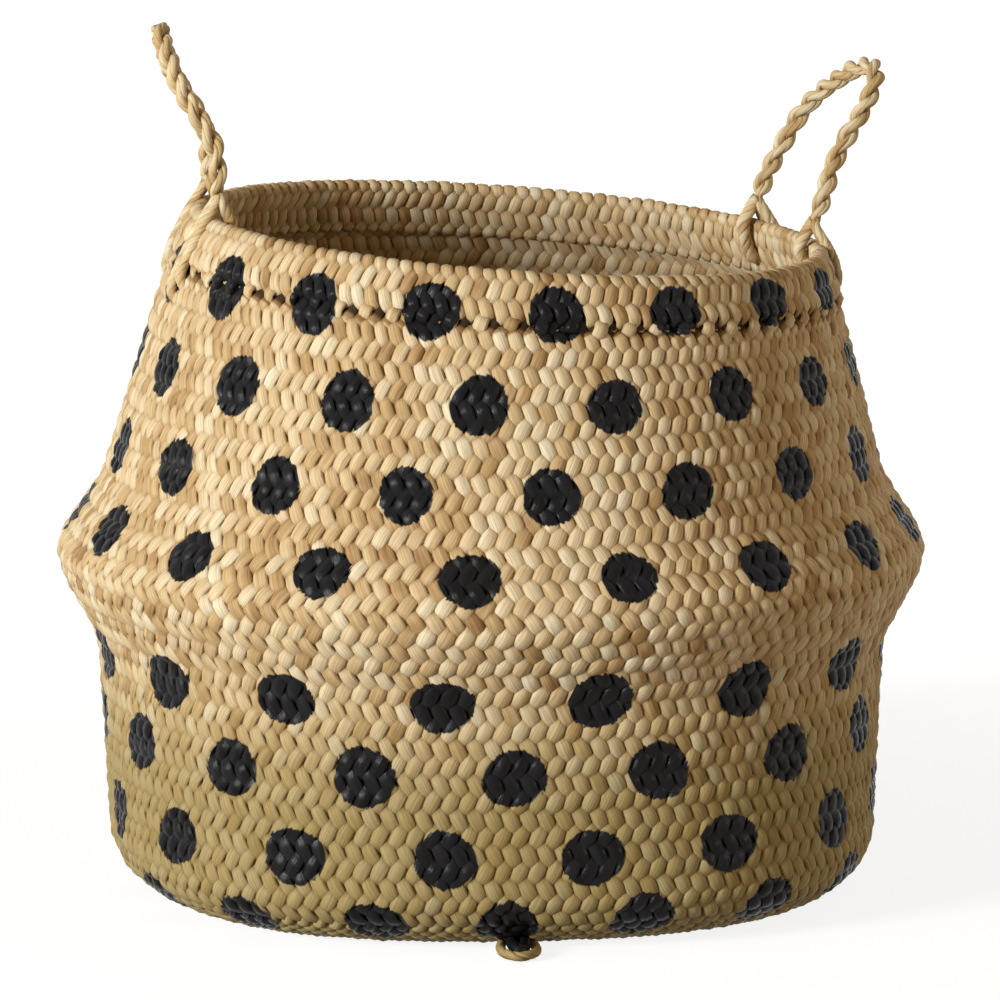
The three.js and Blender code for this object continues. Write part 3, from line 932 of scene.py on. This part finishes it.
class BASKET_OT_base_mat(BasketOperator, bpy.types.Operator):
    """Plaits the square mat of the base and its rounded edge"""

    bl_idname = "basket.base_mat"
    bl_label = "Base mat"

    def execute(self, context):
        scene = context.scene
        for axis, name in enumerate(("mat_strands_across", "mat_strands_deep")):
            random = np.random.default_rng(11 + axis)
            parts = mat_strands(axis, scene.basket_plait, scene.basket_dots, random)
            piece = new_piece(name, parts, plait_material(scene))
            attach(piece, "lower_body")
            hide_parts("base_mat")
        return {"FINISHED"}


class BASKET_OT_lower_wall(BasketOperator, bpy.types.Operator):
    """Plaits the straight lower wall and the belly"""

    bl_idname = "basket.lower_wall"
    bl_label = "Lower wall and belly"

    def execute(self, context):
        scene = context.scene
        for side, direction, shift in SIDES:
            last = SPLIT_ROW - 0.5 + shift
            piece = wall_piece(scene, 21, f"lower_strands_rising_{side}", direction, shift, last)
            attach(piece, "lower_body")
            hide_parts("lower_wall", "belly")
        return {"FINISHED"}


class BASKET_OT_upper_wall(BasketOperator, bpy.types.Operator):
    """Plaits the upper wall between belly and rim"""

    bl_idname = "basket.upper_wall"
    bl_label = "Upper wall"

    def execute(self, context):
        scene = context.scene
        row = 2 * scene.basket_plait.row_height * 1000
        top_arc = np.interp(RIM_HEIGHT - WALL_END, ARC_LEVEL, ARC)
        samples = 2 * SAMPLES_PER_KNOB
        last = round((top_arc - FIRST_ROW_ARC) / row * samples) / samples
        for side, direction, shift in SIDES:
            first = SPLIT_ROW - 0.5 + shift
            piece = wall_piece(scene, 31, f"upper_strands_rising_{side}", direction, first, last)
            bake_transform(piece)
            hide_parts("collar", *[f"fold_link_{i}" for i in range(1, 6)])
        return {"FINISHED"}


class BASKET_OT_hem(BasketOperator, bpy.types.Operator):
    """Plaits the hem that is folded over the rim"""

    bl_idname = "basket.hem"
    bl_label = "Hem"

    def execute(self, context):
        scene = context.scene
        plait, dots = scene.basket_plait, scene.basket_dots
        parts = [hem_family(direction, plait, dots, np.random.default_rng(41 + direction))
                 for direction in (1, -1)]
        piece = new_piece("hem_strands", parts, plait_material(scene))
        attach(piece, "rim")
        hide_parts("hem")
        return {"FINISHED"}


class BASKET_OT_handles(BasketOperator, bpy.types.Operator):
    """Twists the two rope handles"""

    bl_idname = "basket.handles"
    bl_label = "Rope handles"

    def execute(self, context):
        scene = context.scene
        for side, angle, loop, _ in HANDLES:
            random = np.random.default_rng(51 + len(side))
            parts = handle_parts(angle, loop, scene.basket_ropes, random)
            piece = new_piece(f"{side}_rope", parts, rope_material(scene))
            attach(piece, f"{side}_grip")
            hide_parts(f"{side}_handle")
        return {"FINISHED"}


class BASKET_OT_lashings(BasketOperator, bpy.types.Operator):
    """Lays the ropes' parted plies over the hem"""

    bl_idname = "basket.lashings"
    bl_label = "Lashings"

    def execute(self, context):
        scene = context.scene
        for side, angle, _, tail in HANDLES:
            for number, leg in enumerate(leg_angles(angle), 1):
                random = np.random.default_rng(61 + number + len(side))
                parts = [tail_part(leg, stations, radius, scene.basket_ropes, random)
                         for stations, radius in ply_stations(tail)]
                piece = new_piece(f"{side}_plies_{number}", parts, rope_material(scene))
                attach(piece, "rim")
                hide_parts(f"{side}_lashing_{number}")
        return {"FINISHED"}


class BASKET_OT_tuft(BasketOperator, bpy.types.Operator):
    """Loops the strand ends under the front of the base"""

    bl_idname = "basket.tuft"
    bl_label = "Corner tuft"

    def execute(self, context):
        scene = context.scene
        parts = tuft_parts(scene.basket_ropes, np.random.default_rng(71))
        piece = new_piece("corner_tuft", parts, rope_material(scene))
        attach(piece, "lower_body")
        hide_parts("base_corner_tuft")
        return {"FINISHED"}


def seen_ray(tree):
    """1 for the rays that show the background: the camera's, and those that gloss or glass sends on."""
    path = add_node(tree, "ShaderNodeLightPath")
    glossy = add_math(tree, "MAXIMUM", path.outputs["Is Camera Ray"], path.outputs["Is Glossy Ray"])
    return add_math(tree, "MAXIMUM", glossy, path.outputs["Is Transmission Ray"])


def pale_material(stage):
    """The floor: matt, with a glow for the camera that keeps the shadow and grows to white further out."""
    material = bpy.data.materials.new("pale_floor")
    material.use_nodes = True
    tree = material.node_tree
    tree.nodes.remove(tree.nodes["Principled BSDF"])
    place = add_node(tree, "ShaderNodeTexCoord").outputs["Object"]
    away = add_node(tree, "ShaderNodeVectorMath", {0: place}, operation="LENGTH").outputs["Value"]
    strength = add_range(tree, away, GLOW_START, GLOW_FULL, stage.floor_glow, 1.0)
    glow = add_node(tree, "ShaderNodeEmission", {
        "Color": (1, 1, 1, 1), "Strength": add_math(tree, "MULTIPLY", seen_ray(tree), strength)})
    matt = add_node(tree, "ShaderNodeBsdfDiffuse", {"Color": (*stage.floor, 1)})
    both = add_node(tree, "ShaderNodeAddShader", {0: glow.outputs[0], 1: matt.outputs[0]})
    tree.links.new(both.outputs[0], tree.nodes["Material Output"].inputs["Surface"])
    return material


def add_lamp(name, place, size, colour, power):
    """A square lamp at a place, turned to the basket."""
    lamp = bpy.data.lights.new(name, "AREA")
    lamp.shape, lamp.size, lamp.energy, lamp.color = "SQUARE", size, power, colour
    holder = bpy.data.objects.new(name, lamp)
    bpy.context.scene.collection.objects.link(holder)
    holder.location = place
    x, y, z = np.subtract(LAMP_AIM, place)
    holder.rotation_euler = (math.atan2(math.hypot(x, y), -z), 0, math.atan2(-x, y))


class BASKET_OT_stage(BasketOperator, bpy.types.Operator):
    """Sets up the floor, the light and the camera"""

    bl_idname = "basket.stage"
    bl_label = "Floor, light and camera"

    def execute(self, context):
        scene = context.scene
        stage = scene.basket_stage
        corners = [(FLOOR_SPAN * x, FLOOR_SPAN * y, 0) for x, y in ((-1, -1), (1, -1), (1, 1), (-1, 1))]
        mesh = bpy.data.meshes.new("floor")
        mesh.from_pydata(corners, [], [(0, 1, 2, 3)])
        mesh.materials.append(pale_material(stage))
        floor = bpy.data.objects.new("floor", mesh)
        scene.collection.objects.link(floor)

        world = bpy.data.worlds.new("studio")
        world.use_nodes = True
        tree = world.node_tree
        seen = seen_ray(tree)
        back = tree.nodes["Background"]
        tree.links.new(add_mix(tree, seen, (*stage.sky, 1), (1, 1, 1, 1)), back.inputs["Color"])
        scene.world = world

        for lamp, power in zip(LAMPS, (stage.key_power, stage.fill_power)):
            add_lamp(*lamp, power)

        camera = bpy.data.cameras.new("camera")
        camera.sensor_width = 36
        camera.lens = CAMERA_LENS
        camera.shift_x = CAMERA_SHIFT
        camera.clip_end = 50
        holder = bpy.data.objects.new("camera", camera)
        azimuth, pitch = math.radians(CAMERA_AZIMUTH), math.radians(CAMERA_PITCH)
        holder.location = (
            stage.distance * math.sin(azimuth), -stage.distance * math.cos(azimuth), stage.height)
        holder.rotation_euler = (math.pi / 2 - pitch, 0, azimuth)
        scene.collection.objects.link(holder)
        scene.camera = holder
        scene.view_settings.view_transform = "Standard"
        return {"FINISHED"}


OPERATORS = (
    BASKET_OT_base_mat, BASKET_OT_lower_wall, BASKET_OT_upper_wall, BASKET_OT_hem, BASKET_OT_handles,
    BASKET_OT_lashings, BASKET_OT_tuft, BASKET_OT_stage,
)
SETTINGS = {
    "basket_plait": BasketPlait, "basket_dots": BasketDots, "basket_ropes": BasketRopes,
    "basket_colours": BasketColours, "basket_stage": BasketStage,
}


class BASKET_PT_panel(bpy.types.Panel):
    """Settings and steps of the basket"""

    bl_idname = "BASKET_PT_panel"
    bl_label = "Basket"
    bl_space_type = "VIEW_3D"
    bl_region_type = "UI"
    bl_category = "Basket"

    def draw(self, context):
        for name, group in SETTINGS.items():
            box = self.layout.box()
            box.label(text=group.__name__)
            for key in group.__annotations__:
                box.prop(getattr(context.scene, name), key)
        for operator in OPERATORS:
            self.layout.operator(operator.bl_idname)


def register():
    for group in (*SETTINGS.values(), *OPERATORS, BASKET_PT_panel):
        bpy.utils.register_class(group)
    for name, group in SETTINGS.items():
        setattr(bpy.types.Scene, name, bpy.props.PointerProperty(type=group))


def unregister():
    for name in SETTINGS:
        delattr(bpy.types.Scene, name)
    for group in reversed((*SETTINGS.values(), *OPERATORS, BASKET_PT_panel)):
        bpy.utils.unregister_class(group)


def main():
    register()
    bpy.ops.basket.base_mat()
    bpy.ops.basket.lower_wall()
    bpy.ops.basket.upper_wall()
    bpy.ops.basket.hem()
    bpy.ops.basket.handles()
    bpy.ops.basket.lashings()
    bpy.ops.basket.tuft()
    bpy.ops.basket.stage()


if __name__ == "__main__":
    main()
